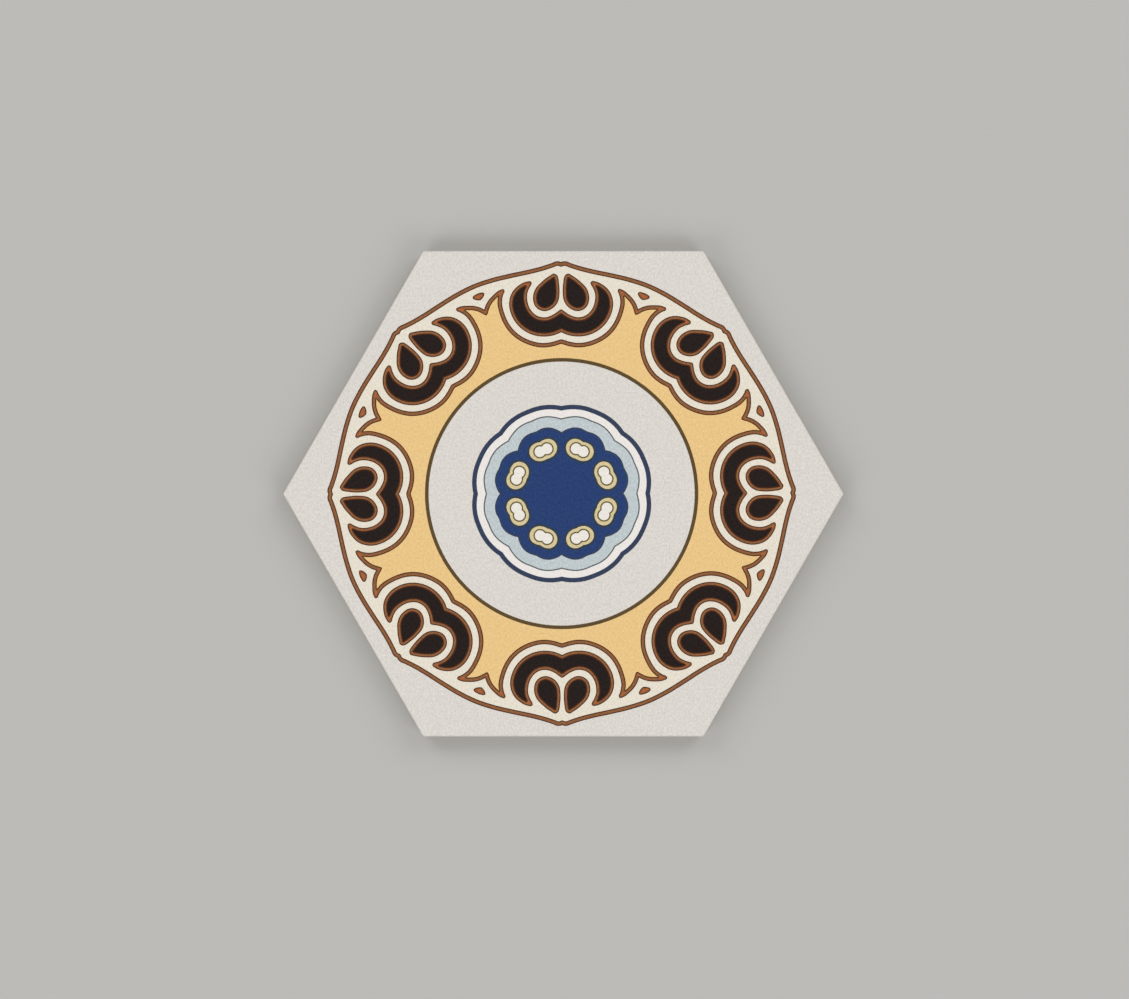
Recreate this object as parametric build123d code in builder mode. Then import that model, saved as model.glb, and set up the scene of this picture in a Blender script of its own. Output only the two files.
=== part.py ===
from build123d import *

import os
from math import floor, sqrt

# Hexagonal porcelain floor tile: one pressed, glazed and fired piece.
# It lies on its keyed back, with the glazed face up.
# The origin is the middle of the back, +X points to a corner and +Y to a flat side.

# Driving dimensions, in millimetres and degrees
ACROSS_FLATS = 200.0  # glazed face, from side to opposite side
THICKNESS = 9.0  # face to the ribs of the back
CORNER_RADIUS = 1.0  # rounding of the six corners, seen from above
FACE_EDGE_RADIUS = 0.8  # glazed edge round the face
SIDE_TAPER_HEIGHT = 4.0  # lower part of each side, which leans in to leave the press
SIDE_TAPER_WIDTH = 0.6  # how far it leans in at the back
BACK_EDGE_RADIUS = 0.4  # worn edge between the side and the back
BACK_BORDER = 8.0  # least plain margin between the cells and the side
CELL_PITCH = 16.0  # middle to middle of neighbouring cells of the back
RIB_WIDTH = 3.0  # rib between two cells, at its foot on the bed
CELL_DEPTH = 0.9  # depth of a cell below the ribs
CELL_DRAFT = 30.0  # slope of a cell's walls, so that the press lets go

# Sizes that follow from them
SIDE_COUNT = 6
CELL_APOTHEM = (CELL_PITCH - RIB_WIDTH) / 2
CELL_REACH = CELL_APOTHEM * 2 / sqrt(3)
ROW_PITCH = CELL_PITCH * sqrt(3) / 2
CELL_RINGS = floor((ACROSS_FLATS / 2 - BACK_BORDER - CELL_REACH) / ROW_PITCH)
CELL_TURN = 30.0  # a cell's corners point to the tile's flat sides


def cell_centres():
    """Middles of the back's cells: rings of a honeycomb that fill the hexagon."""
    centres = []
    for row in range(-CELL_RINGS, CELL_RINGS + 1):
        cells_in_row = 2 * CELL_RINGS + 1 - abs(row)
        first_x = -(cells_in_row - 1) / 2 * CELL_PITCH
        centres += [(first_x + i * CELL_PITCH, row * ROW_PITCH) for i in range(cells_in_row)]
    return centres


with BuildPart() as tile:
    # Body: the hexagon with its corners rounded, at full thickness
    with BuildSketch(Plane.XY) as outline:
        RegularPolygon(ACROSS_FLATS / 2, SIDE_COUNT, major_radius=False)
        fillet(outline.vertices(), CORNER_RADIUS)
    extrude(amount=THICKNESS)

    # Edges: rounded where the glaze rolls over, tapered and worn towards the back
    fillet(tile.edges().group_by(Axis.Z)[-1], FACE_EDGE_RADIUS)
    chamfer(
        tile.edges().group_by(Axis.Z)[0],
        length=SIDE_TAPER_WIDTH,
        length2=SIDE_TAPER_HEIGHT,
        reference=tile.faces().sort_by(Axis.Z)[0],
    )
    fillet(tile.edges().group_by(Axis.Z)[0], BACK_EDGE_RADIUS)

    # Keyed back: a honeycomb of shallow cells that the adhesive fills
    with BuildSketch(Plane.XY) as cells:
        with Locations(*cell_centres()):
            RegularPolygon(CELL_APOTHEM, SIDE_COUNT, major_radius=False, rotation=CELL_TURN)
    extrude(amount=CELL_DEPTH, taper=CELL_DRAFT, mode=Mode.SUBTRACT)

tile.part.label = "hexagon_tile"

os.makedirs("parts", exist_ok=True)
export_step(tile.part, "parts/hexagon_tile.step")
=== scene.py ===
from cmath import phase, pi, rect
from math import ceil, cos, radians, sin

import bpy
import numpy as np
from bpy.props import FloatProperty, FloatVectorProperty, PointerProperty
from bpy.types import NodeSocket, Operator, Panel, PropertyGroup
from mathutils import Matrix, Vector


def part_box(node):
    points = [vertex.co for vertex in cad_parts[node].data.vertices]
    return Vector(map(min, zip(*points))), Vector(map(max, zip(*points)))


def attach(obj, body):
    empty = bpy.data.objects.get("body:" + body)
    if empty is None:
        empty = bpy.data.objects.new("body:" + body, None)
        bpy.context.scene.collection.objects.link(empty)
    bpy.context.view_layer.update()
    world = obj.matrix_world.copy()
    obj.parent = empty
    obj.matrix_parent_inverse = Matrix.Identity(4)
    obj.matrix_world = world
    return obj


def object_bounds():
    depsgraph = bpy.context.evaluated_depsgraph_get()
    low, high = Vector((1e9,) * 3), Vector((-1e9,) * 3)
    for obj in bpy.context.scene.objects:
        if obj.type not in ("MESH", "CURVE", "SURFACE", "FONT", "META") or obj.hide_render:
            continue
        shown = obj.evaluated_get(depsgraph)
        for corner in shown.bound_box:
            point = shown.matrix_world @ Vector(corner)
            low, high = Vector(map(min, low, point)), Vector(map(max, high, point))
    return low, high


bl_info = {
    "name": "Hexagon medallion tile",
    "version": (1, 0, 0),
    "blender": (4, 5, 0),
    "location": "3D View > Sidebar > Tile",
    "description": "Glazes a hexagonal porcelain tile and prints its medallion",
    "category": "Object",
}

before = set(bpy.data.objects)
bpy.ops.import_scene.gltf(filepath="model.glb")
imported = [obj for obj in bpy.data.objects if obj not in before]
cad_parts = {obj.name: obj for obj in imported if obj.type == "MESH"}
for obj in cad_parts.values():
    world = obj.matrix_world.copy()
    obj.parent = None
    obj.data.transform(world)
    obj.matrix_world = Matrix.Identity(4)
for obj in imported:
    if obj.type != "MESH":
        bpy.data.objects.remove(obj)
CAD_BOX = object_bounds()

TILE_NODE = "hexagon_tile"
BODY = "root"
MM = 0.001
FACE_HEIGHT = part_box(TILE_NODE)[1].z

# Where the tile stands in the photograph, and the lens that shows it there
PHOTO_WIDTH_PX = 1129
PHOTO_HEIGHT_PX = 999
TILE_MIDDLE_PX = (563.35, 493.74)
TILE_ACROSS_FLATS_PX = 485.76
CAMERA_LENS_MM = 85.0
CAMERA_SENSOR_MM = 36.0

# The floor and the lamps, with their sizes in metres
FLOOR_SIZE = 12
FLOOR_ROUGHNESS = 0.9
FLOOR_SPECULAR = 0.1
LAMP_COUNT = 4
LAMP_SIZE = 0.9

# The medallion repeats eight times round its middle
SECTORS = 8
SECTOR_ANGLE = 2 * pi / SECTORS
UPRIGHT = pi / 2
MID_SECTOR = UPRIGHT - SECTOR_ANGLE / 2

# How finely outlines are drawn, in millimetres, how the corners of a moved outline are eased, what share of
# its way a moved point keeps clear of the outline, and how near two points are merged
OUTLINE_SPACING = 0.4
CIRCLE_POINTS = 480
CORNER_TURN = radians(20)
CORNER_STEPS = 6
CORNER_EASE = 0.85
CLEAR_SHARE = 0.999
MERGE_DISTANCE = 0.001

# Outlines of the motifs, in millimetres from the middle of the medallion, with the motif's axis up.
# Each is a smooth curve through its points, and a half goes on in its mirror image.
CRESCENT_HALF = (
    (0.0, 66.68), (7.2, 64.9), (15.0, 67.23), (20.05, 73.02), (21.33, 79.0), (20.0, 83.4), (17.0, 86.37),
    (15.24, 87.33), (13.8, 87.75), (12.55, 87.77), (12.05, 87.2), (12.15, 86.55), (12.88, 85.25),
    (13.88, 82.5), (13.78, 79.36), (12.5, 76.05), (10.0, 73.63), (7.0, 72.89), (3.0, 74.2),
    (1.0, 75.62), (0.5, 75.98), (0.0, 76.15),
)
PETAL = (
    (2.8, 90.95), (1.58, 90.19), (1.1, 88.87), (0.9, 87.4), (0.64, 83.5), (1.43, 79.0), (3.64, 76.5),
    (7.0, 75.4), (10.27, 76.98), (11.54, 80.7), (10.75, 84.27), (7.77, 87.73), (4.66, 90.06),
)
BAND_HALF = (
    (0.0, 63.8), (0.8, 63.6), (3.5, 62.78), (7.2, 62.28), (13.0, 63.45), (19.02, 67.23), (23.3, 74.57),
    (24.21, 79.9), (23.65, 82.5), (23.18, 83.85), (23.71, 84.6), (24.7, 84.37), (28.0, 82.0),
    (30.02, 79.67), (31.56, 76.2),
)
BORDER_HALF = (
    (0.0, 95.72), (0.75, 95.98), (1.7, 96.03), (4.02, 95.25), (7.02, 94.25), (12.01, 92.91), (20.01, 91.18),
    (28.02, 89.27), (35.89, 86.64),
)
DROP_HALF = (
    (0.0, 89.6), (-1.15, 89.48), (-1.98, 89.3), (-2.58, 88.75), (-2.5, 88.2), (-1.85, 87.5), (-0.9, 86.88),
    (0.0, 86.58),
)

# Spots of rust where the lines swell: at the tips of a crescent and of a spur, and in the fork of the spurs
CRESCENT_SPOT = ((13.1, 86.85), (13.75, 85.6), (14.0, 86.25), (14.75, 86.6))
SPUR_SPOT = ((24.1, 83.75), (25.0, 81.8), (25.85, 82.7))
FORK_SPOT = ((0.0, 81.65), (-0.6, 81.3), (0.0, 80.85), (0.6, 81.3))

# Outlines of the rosette's lobes, as radius and degrees from the notch to the middle of the lobe
RIM_LOBE = ((36.2, 0.0), (36.9, 6.0), (37.37, 14.0), (37.4, 22.5))
CUFF_LOBE = ((31.1, 0.0), (32.03, 6.0), (32.54, 10.0), (32.82, 16.0), (32.65, 22.5))
FLOWER_LOBE = ((25.4, 0.0), (27.03, 6.0), (27.77, 10.0), (28.15, 16.0), (27.8, 22.5))

# Outlines of a bean and of its eye, in millimetres from the bean's middle, with its outer side up
BEAN_RADIUS = 19.45
BEAN_HALF = ((0.0, -3.86), (1.8, -3.94), (4.5, -2.74), (5.84, 0.0), (4.5, 3.0), (1.8, 3.86), (0.0, 3.53))
EYE_HALF = ((0.0, -2.33), (1.75, -2.79), (3.3, -2.24), (4.33, 0.0), (3.3, 2.13), (1.75, 2.76), (0.0, 2.22))

# Light that the sheen of the glaze adds to each of its colours in this studio
SHEEN = 0.0114

# The range that most of a noise lies in
NOISE_LOW = 0.3
NOISE_HIGH = 0.7

# Speckle of a colour: the width of its grains in millimetres, how much narrower across the face than up it
# they are, and the share by which they are lighter or darker. A dark colour needs a larger share to show it.
GRAIN_WIDTH = 0.7
TINT_WIDTH = 1.3
GRAIN_SQUEEZE = (1.0, 0.7, 1.0)
WHITE_GRAIN = 0.08
PALE_GRAIN = 0.1
GROUND_GRAIN = 0.11
GREY_GRAIN = 0.12
MIDDLE_GRAIN = 0.15
DARK_GRAIN = 0.25
BLACK_GRAIN = 0.8
BISCUIT_GRAIN = 0.05
FLOOR_GRAIN = 0.01

# How far the grains stray in hue
PRINT_TINT = 0.005
GROUND_TINT = 0.015
FLOOR_TINT = 0.001

# Matt glaze: its roughness from patch to patch, and its faintly uneven skin, in millimetres
GLAZE_ROUGHNESS = (0.5, 0.58)
GLAZE_SPECULAR = 0.2
SHEEN_PATCH = 6.0
SKIN_WIDTH = 1.6
SKIN_DEPTH = 0.1
SKIN_STRENGTH = 0.06

# The glaze thins out between these depths below the face, along an edge that waves, in millimetres
GLAZE_FULL_DEPTH = 2.1
GLAZE_END_DEPTH = 2.4
GLAZE_WAVE = 0.3
GLAZE_WAVE_WIDTH = 7.0

# Bare porcelain with its flecks, and the patches of kiln wash on the lowest faces of the back
FACE_ROUGHNESS = 0.54
BISCUIT_ROUGHNESS = 0.85
FLECK_WIDTH = 0.8
FLECK_NOISE = (0.62, 0.7)
FLECK_SHARE = 0.5
WASH_FULL_HEIGHT = 0.02
WASH_END_HEIGHT = 0.12
WASH_SHARE = 0.85
WASH_THIN = 0.25
WASH_PATCH = 9.0
WASH_NOISE = (0.4, 0.55)


def srgb(red, green, blue):
    """Linear colour of a shade that shows as these levels, from 0 to 255."""
    levels = [value / 255 for value in (red, green, blue)]
    return tuple(v / 12.92 if v <= 0.04045 else ((v + 0.055) / 1.055) ** 2.4 for v in levels)


def length(name, description, millimetres):
    """A length property, given in millimetres."""
    return FloatProperty(
        name=name, description=description, default=millimetres * MM, unit="LENGTH", precision=5
    )


def shade(name, description, red, green, blue):
    """A colour property, given as the levels that it shows with the sheen on it."""
    colour = [max(value - SHEEN, 0) for value in srgb(red, green, blue)]
    return FloatVectorProperty(
        name=name, description=description, default=colour, subtype="COLOR", min=0, max=1
    )


class PrintSizes(PropertyGroup):
    """Sizes of the printed medallion."""

    height: length("Height", "How far the fired print stands above the glaze", 0.05)
    sink: length("Sink", "How far the print goes into the glaze", 0.03)
    right: length("Right", "How far the medallion lies to the right of the middle of the face", -0.7)
    up: length("Up", "How far the medallion lies above the middle of the face", 0.06)
    turn: FloatProperty(
        name="Turn", description="Turn of the medallion on the face", default=radians(0.15), subtype="ANGLE"
    )
    stretch: FloatProperty(
        name="Stretch",
        description="Share by which the print is wider and less high than drawn",
        default=0.004,
    )
    border_line: length("Border line", "Width of the line round the medallion", 1.91)
    band_line: length("Band line", "Width of the line along the amber band", 1.89)
    motif_line: length("Motif line", "Width of the lines round crescents and petals", 1.69)
    line_edge: length("Line edge", "Width of the dark edges of these lines", 0.45)
    drop_line: length("Drop line", "Width of the line round a drop", 0.95)
    circle: length("Circle", "Outer radius of the circle line", 56.05)
    circle_line: length("Circle line", "Width of the circle line", 1.47)
    rim_line: length("Rim line", "Width of the slate line round the rosette", 1.88)
    cuff_line: length("Cuff line", "Width of the grey line round the pale blue cuff", 0.55)
    flower_line: length("Flower line", "Width of the slate line round the flower", 0.75)
    bean_line: length("Bean line", "Width of the ink line round a bean", 0.9)
    eye_line: length("Eye line", "Width of the olive line round an eye", 0.58)


class GlazeColours(PropertyGroup):
    """Colours of the glaze, the prints and the body."""

    ground: shade("Ground", "Speckled glaze of the face", 219, 214, 207)
    cream: shade("Cream", "Field between the border and the band", 230, 222, 206)
    amber: shade("Amber", "Band with the spurs", 234, 198, 137)
    straw: shade("Straw", "Beans of the rosette", 215, 198, 155)
    black: shade("Black", "Crescents and petals of the palmettes", 41, 34, 32)
    brown: shade("Brown", "Core of the lines", 141, 95, 62)
    umber: shade("Umber", "Dark edges of the lines", 80, 44, 22)
    rust: shade("Rust", "Drops, and spots where the lines swell", 180, 97, 54)
    bronze: shade("Bronze", "Circle line", 95, 76, 49)
    olive: shade("Olive", "Lines round the eyes", 102, 92, 48)
    navy: shade("Navy", "Flower of the rosette", 45, 66, 114)
    slate: shade("Slate", "Rim of the rosette and edge of its flower", 57, 67, 90)
    ink: shade("Ink", "Lines round the beans", 54, 66, 76)
    grey: shade("Grey", "Line round the cuff", 95, 100, 101)
    pale_blue: shade("Pale blue", "Cuff round the flower", 192, 201, 204)
    white: shade("White", "Collar of the rosette", 235, 230, 225)
    eye: shade("Eye", "Eyes of the beans", 235, 230, 222)
    biscuit: shade("Biscuit", "Unglazed porcelain of the sides and back", 205, 194, 178)
    fleck: shade("Fleck", "Dark mineral flecks in the porcelain", 120, 104, 88)
    engobe: shade("Engobe", "Kiln wash on the ribs of the back", 231, 227, 219)


class StageSetup(PropertyGroup):
    """Floor and light."""

    floor: shade("Floor", "Colour of the floor", 188, 187, 184)
    lamp_power: FloatProperty(
        name="Lamp power", description="Power of each of the side lamps", default=6.76, unit="POWER"
    )
    lamp_distance: length("Lamp distance", "From the tile to a lamp", 1600.0)
    lamp_height: FloatProperty(
        name="Lamp height",
        description="How steeply a lamp shines down",
        default=radians(38),
        subtype="ANGLE",
    )
    sky: FloatProperty(name="Sky", description="Strength of the even light from all round", default=0.416)


# Outlines. A point of the plane is a complex number, in millimetres: real to the right, imaginary up.

def plane(points):
    return [complex(*point) for point in points]


def smooth_run(knots, closed=False):
    """Points along a smooth curve through the knots. Knots on a circle give that circle."""
    count = len(knots)
    headings = [None] * count
    for i in range(count):
        if closed or 0 < i < count - 1:
            come = knots[i] - knots[i - 1]
            go = knots[(i + 1) % count] - knots[i]
            heading = come / abs(come) * abs(go) + go / abs(go) * abs(come)
            headings[i] = heading / abs(heading)
    if not closed:
        for end, inner in ((0, 1), (count - 1, count - 2)):
            chord = knots[end] - knots[inner]
            headings[end] = (chord / abs(chord)) ** 2 * headings[inner].conjugate()
    curve = []
    for i in range(count if closed else count - 1):
        start = knots[i]
        stop = knots[(i + 1) % count]
        chord = stop - start
        handles = []
        for heading in (headings[i], headings[(i + 1) % count]):
            along = (heading * chord.conjugate()).real / abs(chord)
            handles.append(heading * abs(chord) / 1.5 / (1 + along))
        near = start + handles[0]
        far = stop - handles[1]
        steps = max(2, ceil(abs(chord) / OUTLINE_SPACING))
        for step in range(steps):
            t = step / steps
            s = 1 - t
            curve.append(s**3 * start + 3 * s * s * t * near + 3 * s * t * t * far + t**3 * stop)
    return curve if closed else curve + [knots[-1]]


def mirrored(outline, axis=UPRIGHT):
    """The outline's mirror image across an axis through the middle, walked the other way."""
    return [rect(1, 2 * axis) * point.conjugate() for point in reversed(outline)]


def turned(outline, angle):
    return [rect(1, angle) * point for point in outline]


def all_round(loops):
    """Each loop in all sectors of the medallion."""
    return [turned(loop, k * SECTOR_ANGLE) for loop in loops for k in range(SECTORS)]


def closed_ring(sector):
    """One closed outline from a stretch that starts where the sector before it ends."""
    return [point for stretch in all_round([sector]) for point in stretch]


def inset(outline, distance):
    """The outline moved inwards, or outwards by a negative distance.

    A corner that opens is eased on the way in and round on the way out. Where the outline is too narrow,
    its two sides meet.
    """
    points = np.array(outline)
    ahead = np.roll(points, -1) - points
    normals = 1j * ahead / abs(ahead)
    moved = []
    for point, first, last in zip(points, np.roll(normals, 1), normals):
        turn = phase(last / first)
        mitre = (first + last) / (1 + cos(turn))
        if abs(turn) < CORNER_TURN or turn * distance > 0:
            moved.append(point + distance * mitre)
            continue
        start = mitre + CORNER_EASE * (first - mitre)
        stop = mitre + CORNER_EASE * (last - mitre)
        for step in range(CORNER_STEPS + 1):
            t = step / CORNER_STEPS
            s = 1 - t
            eased = s**3 * start + 3 * s * t * mitre + t**3 * stop
            moved.append(point + distance * (eased if distance > 0 else first * rect(1, t * turn)))
    moved = np.array(moved)
    share = ((moved[:, None] - points) * ahead.conj()).real / abs(ahead) ** 2
    foot = points + np.clip(share, 0, 1) * ahead
    clearance = abs(moved[:, None] - foot).min(axis=1)
    return list(moved[clearance > abs(distance) * CLEAR_SHARE])


def line_loops(outline, width, edge):
    """Loops of a line inside the outline: its outer side, both sides of its core, and its inner side."""
    inner = inset(outline, width)
    return [outline, inset(outline, edge), inset(inner, -edge), inner]


def circle(radius):
    return [rect(radius, 2 * pi * k / CIRCLE_POINTS) for k in range(CIRCLE_POINTS)]


def crescent():
    half = smooth_run(plane(CRESCENT_HALF))
    return half[:-1] + mirrored(half)[:-1]


def petals():
    petal = smooth_run(plane(PETAL), closed=True)
    return [petal, mirrored(petal)]


def drop():
    """The drop between two palmettes."""
    half = plane(DROP_HALF)
    outline = smooth_run(half + mirrored(half)[1:-1], closed=True)
    return turned(outline, MID_SECTOR - UPRIGHT)


def band():
    """Edge of the amber band: lobes under the palmettes, with a forked spur between them."""
    half = smooth_run(plane(BAND_HALF))[::-1]
    return closed_ring(half[:-1] + mirrored(half)[:-1])


def lobe(half, axis):
    """Smooth lobe through the knots of its first half and their mirror images."""
    return smooth_run(half + mirrored(half, axis)[1:])


def border():
    """Outer edge of the medallion, with a dimple at the tip of each palmette."""
    return closed_ring(lobe(plane(BORDER_HALF), MID_SECTOR)[:0:-1])


def rust_spots():
    """Spots of one sector: on both sides of the palmette, and in the fork."""
    sides = [plane(CRESCENT_SPOT), plane(SPUR_SPOT)]
    return sides + [mirrored(spot) for spot in sides] + [turned(plane(FORK_SPOT), MID_SECTOR - UPRIGHT)]


def scalloped(half_lobe):
    """Edge of the rosette whose eight lobes meet in notches."""
    half = [rect(radius, UPRIGHT + radians(degrees)) for radius, degrees in half_lobe]
    return closed_ring(lobe(half, UPRIGHT + SECTOR_ANGLE / 2)[:-1])


def bean(half):
    """Bean or eye, laid across the middle of a lobe, with a dent in its long sides."""
    side = smooth_run(plane(half))
    outline = side[:-1] + mirrored(side)[:-1]
    return turned([point + 1j * BEAN_RADIUS for point in outline], MID_SECTOR - UPRIGHT)


# Materials

def add_node(tree, kind, inputs=None, **settings):
    """A node with its settings and inputs. An input is a value, or the socket that feeds it."""
    node = tree.nodes.new(kind)
    for name, value in settings.items():
        setattr(node, name, value)
    for name, value in (inputs or {}).items():
        if isinstance(value, NodeSocket):
            tree.links.new(value, node.inputs[name])
        else:
            node.inputs[name].default_value = value
    return node


def new_material(name, colour):
    """A node material with its tree, its shader and its Object coordinates."""
    material = bpy.data.materials.new(name)
    material.use_nodes = True
    material.diffuse_color = (*colour, 1)
    tree = material.node_tree
    shader = tree.nodes["Principled BSDF"]
    place = add_node(tree, "ShaderNodeTexCoord").outputs["Object"]
    return material, tree, shader, place


def noise(tree, place, width_mm, detail=2.0):
    """Noise whose grains are about this many millimetres wide, from 0 to 1."""
    return add_node(
        tree,
        "ShaderNodeTexNoise",
        {"Vector": place, "Scale": 1 / (width_mm * MM), "Detail": detail, "Roughness": 0.6},
    ).outputs["Fac"]


def remap(tree, value, low, high, to_low, to_high):
    """The value carried from one range to another, and held at its ends."""
    return add_node(
        tree,
        "ShaderNodeMapRange",
        {"Value": value, "From Min": low, "From Max": high, "To Min": to_low, "To Max": to_high},
    ).outputs["Result"]


def uneven(tree, place, width_mm, low, high):
    """A value that strays between two others, in patches about this many millimetres wide."""
    return remap(tree, noise(tree, place, width_mm), NOISE_LOW, NOISE_HIGH, low, high)


def combined(tree, operation, first, second):
    return add_node(tree, "ShaderNodeMath", {0: first, 1: second}, operation=operation).outputs["Value"]


def blend(tree, share, first, second):
    """Mix of two colours, each a colour or a socket, by a share that comes from a socket."""
    mix = add_node(tree, "ShaderNodeMix", {0: share}, data_type="RGBA")
    # Inputs 6 and 7 are the node's colours, and output 2 is their mix
    for index, value in ((6, first), (7, second)):
        if isinstance(value, NodeSocket):
            tree.links.new(value, mix.inputs[index])
        else:
            mix.inputs[index].default_value = (*value, 1)
    return mix.outputs[2]


def grained(tree, place, colour, grain, tint):
    """The colour with the fine speckle of a dry glaze: light and dark grains, warm and cool ones."""
    squeeze = add_node(tree, "ShaderNodeMapping", {"Vector": place, "Scale": GRAIN_SQUEEZE})
    squeezed = squeeze.outputs["Vector"]
    value = uneven(tree, squeezed, GRAIN_WIDTH, 1 - grain, 1 + grain)
    hue = uneven(tree, squeezed, TINT_WIDTH, 0.5 - tint, 0.5 + tint)
    return add_node(
        tree, "ShaderNodeHueSaturation", {"Hue": hue, "Value": value, "Color": (*colour, 1)}
    ).outputs["Color"]


def glaze_skin(tree, shader, place):
    """The faintly uneven skin of the glaze, and how much light it throws back."""
    skin = add_node(
        tree,
        "ShaderNodeBump",
        {"Height": noise(tree, place, SKIN_WIDTH), "Strength": SKIN_STRENGTH, "Distance": SKIN_DEPTH * MM},
    )
    tree.links.new(skin.outputs["Normal"], shader.inputs["Normal"])
    shader.inputs["Specular IOR Level"].default_value = GLAZE_SPECULAR


def printed_glaze(name, colour, grain):
    """A printed colour under the matt glaze, whose sheen varies a little."""
    material, tree, shader, place = new_material(name, colour)
    tree.links.new(grained(tree, place, colour, grain, PRINT_TINT), shader.inputs["Base Color"])
    tree.links.new(uneven(tree, place, SHEEN_PATCH, *GLAZE_ROUGHNESS), shader.inputs["Roughness"])
    glaze_skin(tree, shader, place)
    return material


def glazed_porcelain(colours):
    """The tile itself: speckled glaze on the face, bare porcelain below it, kiln wash on the ribs."""
    material, tree, shader, place = new_material("glazed_porcelain", colours.ground)
    height = add_node(tree, "ShaderNodeSeparateXYZ", {"Vector": place}).outputs["Z"]

    flecks = remap(tree, noise(tree, place, FLECK_WIDTH, detail=3.0), *FLECK_NOISE, 0, FLECK_SHARE)
    porcelain = grained(tree, place, colours.biscuit, BISCUIT_GRAIN, PRINT_TINT)
    biscuit = blend(tree, flecks, porcelain, colours.fleck)

    on_ribs = remap(tree, height, WASH_FULL_HEIGHT * MM, WASH_END_HEIGHT * MM, WASH_SHARE, 0)
    patches = remap(tree, noise(tree, place, WASH_PATCH, detail=4.0), *WASH_NOISE, WASH_THIN, 1)
    body = blend(tree, combined(tree, "MULTIPLY", on_ribs, patches), biscuit, colours.engobe)

    wave = uneven(tree, place, GLAZE_WAVE_WIDTH, -GLAZE_WAVE * MM, GLAZE_WAVE * MM)
    edge_bottom = FACE_HEIGHT - GLAZE_END_DEPTH * MM
    edge_top = FACE_HEIGHT - GLAZE_FULL_DEPTH * MM
    glazed = remap(tree, combined(tree, "ADD", wave, height), edge_bottom, edge_top, 0, 1)
    glaze = grained(tree, place, colours.ground, GROUND_GRAIN, GROUND_TINT)

    tree.links.new(blend(tree, glazed, body, glaze), shader.inputs["Base Color"])
    roughness = remap(tree, glazed, 0, 1, BISCUIT_ROUGHNESS, FACE_ROUGHNESS)
    tree.links.new(roughness, shader.inputs["Roughness"])
    glaze_skin(tree, shader, place)
    return material


# Pieces

def print_piece(context, name, loops, colour, grain):
    """A flat printed piece of one colour, from loops of which each inner one is a hole."""
    sizes = context.scene.tile_print
    bpy.ops.object.select_all(action="DESELECT")
    bpy.ops.object.add(type="CURVE")
    piece = context.object
    piece.name = name
    drawing = piece.data
    drawing.dimensions = "2D"
    drawing.fill_mode = "BOTH"
    drawing.extrude = (sizes.height + sizes.sink) / 2
    for loop in loops:
        spline = drawing.splines.new("POLY")
        spline.points.add(len(loop) - 1)
        spline.use_cyclic_u = True
        for point, place in zip(spline.points, loop):
            drawn = complex(place.real * (1 + sizes.stretch), place.imag * (1 - sizes.stretch))
            laid = drawn * rect(MM, sizes.turn)
            point.co = (laid.real, laid.imag, 0, 1)
    bpy.ops.object.convert(target="MESH")
    piece = context.object
    piece.data.name = name
    middle = FACE_HEIGHT + (sizes.height - sizes.sink) / 2
    bpy.ops.object.mode_set(mode="EDIT")
    bpy.ops.mesh.select_all(action="SELECT")
    bpy.ops.mesh.remove_doubles(threshold=MERGE_DISTANCE * MM)
    bpy.ops.mesh.normals_make_consistent(inside=False)
    bpy.ops.transform.translate(value=(sizes.right, sizes.up, middle))
    bpy.ops.object.mode_set(mode="OBJECT")
    finish = f"{colour}_print"
    piece.data.materials.clear()
    piece.data.materials.append(printed_glaze(finish, getattr(context.scene.tile_colours, colour), grain))
    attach(piece, BODY)


class TILE_OT_glaze(Operator):
    """Glaze the face of the tile and finish its sides and back"""

    bl_idname = "tile.glaze"
    bl_label = "Glaze the tile"

    def execute(self, context):
        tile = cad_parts[TILE_NODE]
        material = glazed_porcelain(context.scene.tile_colours)
        for material_slot in tile.material_slots:
            material_slot.material = material
        return {"FINISHED"}


class TILE_OT_print_fields(Operator):
    """Print the cream field and the amber band of the medallion"""

    bl_idname = "tile.print_fields"
    bl_label = "Print the fields"

    def execute(self, context):
        sizes = context.scene.tile_print
        motifs = all_round([crescent(), *petals(), drop()])
        cream_loops = [inset(border(), sizes.border_line / MM), band(), *motifs]
        amber_loops = [inset(band(), sizes.band_line / MM), circle(sizes.circle / MM)]
        print_piece(context, "cream_field", cream_loops, "cream", PALE_GRAIN)
        print_piece(context, "amber_band", amber_loops, "amber", PALE_GRAIN)
        return {"FINISHED"}


class TILE_OT_print_palmettes(Operator):
    """Print the black crescents and petals of the palmettes"""

    bl_idname = "tile.print_palmettes"
    bl_label = "Print the palmettes"

    def execute(self, context):
        line = context.scene.tile_print.motif_line / MM
        fills = [inset(motif, line) for motif in (crescent(), *petals())]
        print_piece(context, "black_palmettes", all_round(fills), "black", BLACK_GRAIN)
        return {"FINISHED"}


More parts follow.
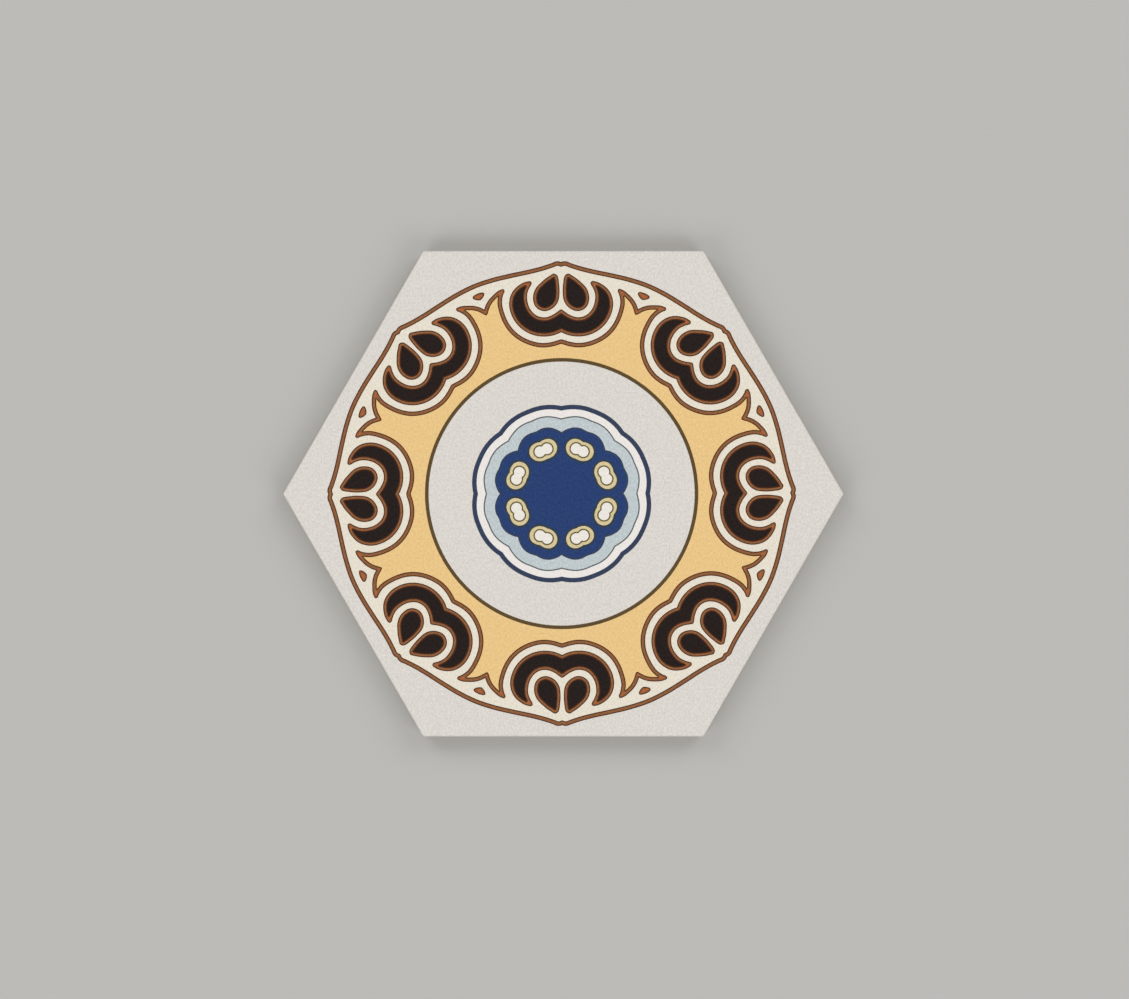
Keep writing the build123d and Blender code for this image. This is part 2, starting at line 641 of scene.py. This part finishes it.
class TILE_OT_print_lines(Operator):
    """Print the brown lines with their dark edges and rust spots, the drops and the circle line"""

    bl_idname = "tile.print_lines"
    bl_label = "Print the lines"

    def execute(self, context):
        sizes = context.scene.tile_print
        edge = sizes.line_edge / MM
        edges = []
        cores = []
        for ring, width in ((border(), sizes.border_line), (band(), sizes.band_line)):
            loops = line_loops(ring, width / MM, edge)
            edges += loops
            cores += loops[1:3]
        for motif in (crescent(), *petals()):
            loops = line_loops(motif, sizes.motif_line / MM, edge)
            edges += all_round(loops)
            cores += all_round(loops[1:3])
        spots = all_round(rust_spots())
        drop_cores = all_round([inset(drop(), edge)])
        drop_fills = all_round([inset(drop(), sizes.drop_line / MM)])
        edges += all_round([drop()]) + drop_cores
        cores += drop_cores + drop_fills
        outer = sizes.circle / MM
        inner = outer - sizes.circle_line / MM

        print_piece(context, "brown_lines", cores + spots, "brown", DARK_GRAIN)
        print_piece(context, "umber_edges", edges, "umber", DARK_GRAIN)
        print_piece(context, "rust_drops", spots + drop_fills, "rust", MIDDLE_GRAIN)
        print_piece(context, "bronze_circle", [circle(outer), circle(inner)], "bronze", DARK_GRAIN)
        return {"FINISHED"}


class TILE_OT_print_rosette(Operator):
    """Print the rosette in the middle: rim, collar, cuff, flower and beans"""

    bl_idname = "tile.print_rosette"
    bl_label = "Print the rosette"

    def execute(self, context):
        sizes = context.scene.tile_print
        rim = scalloped(RIM_LOBE)
        collar = inset(rim, sizes.rim_line / MM)
        cuff = scalloped(CUFF_LOBE)
        cuff_fill = inset(cuff, sizes.cuff_line / MM)
        flower = scalloped(FLOWER_LOBE)
        flower_fill = inset(flower, sizes.flower_line / MM)
        rings = all_round([inset(bean(BEAN_HALF), -sizes.bean_line / MM)])
        beans = all_round([bean(BEAN_HALF)])
        eyes = all_round([bean(EYE_HALF)])
        eye_fills = all_round([inset(bean(EYE_HALF), sizes.eye_line / MM)])

        print_piece(context, "slate_lines", [rim, collar, flower, flower_fill], "slate", DARK_GRAIN)
        print_piece(context, "white_collar", [collar, cuff], "white", WHITE_GRAIN)
        print_piece(context, "grey_cuff_line", [cuff, cuff_fill], "grey", GREY_GRAIN)
        print_piece(context, "pale_blue_cuff", [cuff_fill, flower], "pale_blue", MIDDLE_GRAIN)
        print_piece(context, "navy_flower", [flower_fill, *rings], "navy", DARK_GRAIN)
        print_piece(context, "ink_bean_lines", rings + beans, "ink", DARK_GRAIN)
        print_piece(context, "straw_beans", beans + eyes, "straw", MIDDLE_GRAIN)
        print_piece(context, "olive_eye_lines", eyes + eye_fills, "olive", DARK_GRAIN)
        print_piece(context, "white_eyes", eye_fills, "eye", WHITE_GRAIN)
        return {"FINISHED"}


class TILE_OT_stage(Operator):
    """Set out the floor, the soft light and the camera above the tile"""

    bl_idname = "tile.stage"
    bl_label = "Set the stage"

    def execute(self, context):
        setup = context.scene.tile_stage
        self.lay_floor(context, setup)
        self.hang_lamps(context, setup)
        self.light_sky(context, setup)
        self.place_camera(context)
        context.scene.view_settings.view_transform = "Standard"
        return {"FINISHED"}

    def lay_floor(self, context, setup):
        bpy.ops.object.select_all(action="DESELECT")
        bpy.ops.mesh.primitive_plane_add(size=FLOOR_SIZE)
        floor = context.object
        floor.name = "floor"
        material, tree, shader, place = new_material("floor", setup.floor)
        colour = grained(tree, place, setup.floor, FLOOR_GRAIN, FLOOR_TINT)
        tree.links.new(colour, shader.inputs["Base Color"])
        shader.inputs["Roughness"].default_value = FLOOR_ROUGHNESS
        shader.inputs["Specular IOR Level"].default_value = FLOOR_SPECULAR
        floor.data.materials.append(material)

    def hang_lamps(self, context, setup):
        reach = setup.lamp_distance * cos(setup.lamp_height)
        rise = setup.lamp_distance * sin(setup.lamp_height)
        for k in range(LAMP_COUNT):
            bearing = 2 * pi * (k + 0.5) / LAMP_COUNT
            place = Vector((reach * cos(bearing), reach * sin(bearing), rise))
            bpy.ops.object.light_add(type="AREA", location=place)
            lamp = context.object
            lamp.name = f"side_lamp_{k + 1}"
            lamp.rotation_euler = (-place).to_track_quat("-Z", "Y").to_euler()
            lamp.data.size = LAMP_SIZE
            lamp.data.energy = setup.lamp_power

    def light_sky(self, context, setup):
        world = bpy.data.worlds.new("soft_sky")
        world.use_nodes = True
        sky = world.node_tree.nodes["Background"]
        sky.inputs["Color"].default_value = (1, 1, 1, 1)
        sky.inputs["Strength"].default_value = setup.sky
        context.scene.world = world

    def place_camera(self, context):
        across_flats = CAD_BOX[1].y - CAD_BOX[0].y
        pixel = across_flats / TILE_ACROSS_FLATS_PX
        right = (PHOTO_WIDTH_PX / 2 - TILE_MIDDLE_PX[0]) * pixel
        up = (TILE_MIDDLE_PX[1] - PHOTO_HEIGHT_PX / 2) * pixel
        rise = PHOTO_WIDTH_PX * pixel * CAMERA_LENS_MM / CAMERA_SENSOR_MM
        bpy.ops.object.camera_add(location=(right, up, FACE_HEIGHT + rise), rotation=(0, 0, 0))
        camera = context.object
        camera.data.lens = CAMERA_LENS_MM
        camera.data.sensor_width = CAMERA_SENSOR_MM
        camera.data.sensor_fit = "HORIZONTAL"
        context.scene.camera = camera


class TILE_PT_panel(Panel):
    """Sidebar panel with the sizes, the colours, the stage and the steps in order"""

    bl_idname = "TILE_PT_panel"
    bl_label = "Medallion tile"
    bl_space_type = "VIEW_3D"
    bl_region_type = "UI"
    bl_category = "Tile"

    def draw(self, context):
        for group in (context.scene.tile_print, context.scene.tile_colours, context.scene.tile_stage):
            box = self.layout.box()
            for name in group.__annotations__:
                box.prop(group, name)
        for step in STEPS:
            self.layout.operator(step.bl_idname)


STEPS = (
    TILE_OT_glaze,
    TILE_OT_print_fields,
    TILE_OT_print_palmettes,
    TILE_OT_print_lines,
    TILE_OT_print_rosette,
    TILE_OT_stage,
)
CLASSES = (PrintSizes, GlazeColours, StageSetup, *STEPS, TILE_PT_panel)


def register():
    for cls in CLASSES:
        bpy.utils.register_class(cls)
    bpy.types.Scene.tile_print = PointerProperty(type=PrintSizes)
    bpy.types.Scene.tile_colours = PointerProperty(type=GlazeColours)
    bpy.types.Scene.tile_stage = PointerProperty(type=StageSetup)


def unregister():
    del bpy.types.Scene.tile_stage
    del bpy.types.Scene.tile_colours
    del bpy.types.Scene.tile_print
    for cls in reversed(CLASSES):
        bpy.utils.unregister_class(cls)


def main():
    register()
    bpy.ops.tile.glaze()
    bpy.ops.tile.print_fields()
    bpy.ops.tile.print_palmettes()
    bpy.ops.tile.print_lines()
    bpy.ops.tile.print_rosette()
    bpy.ops.tile.stage()


if __name__ == "__main__":
    main()
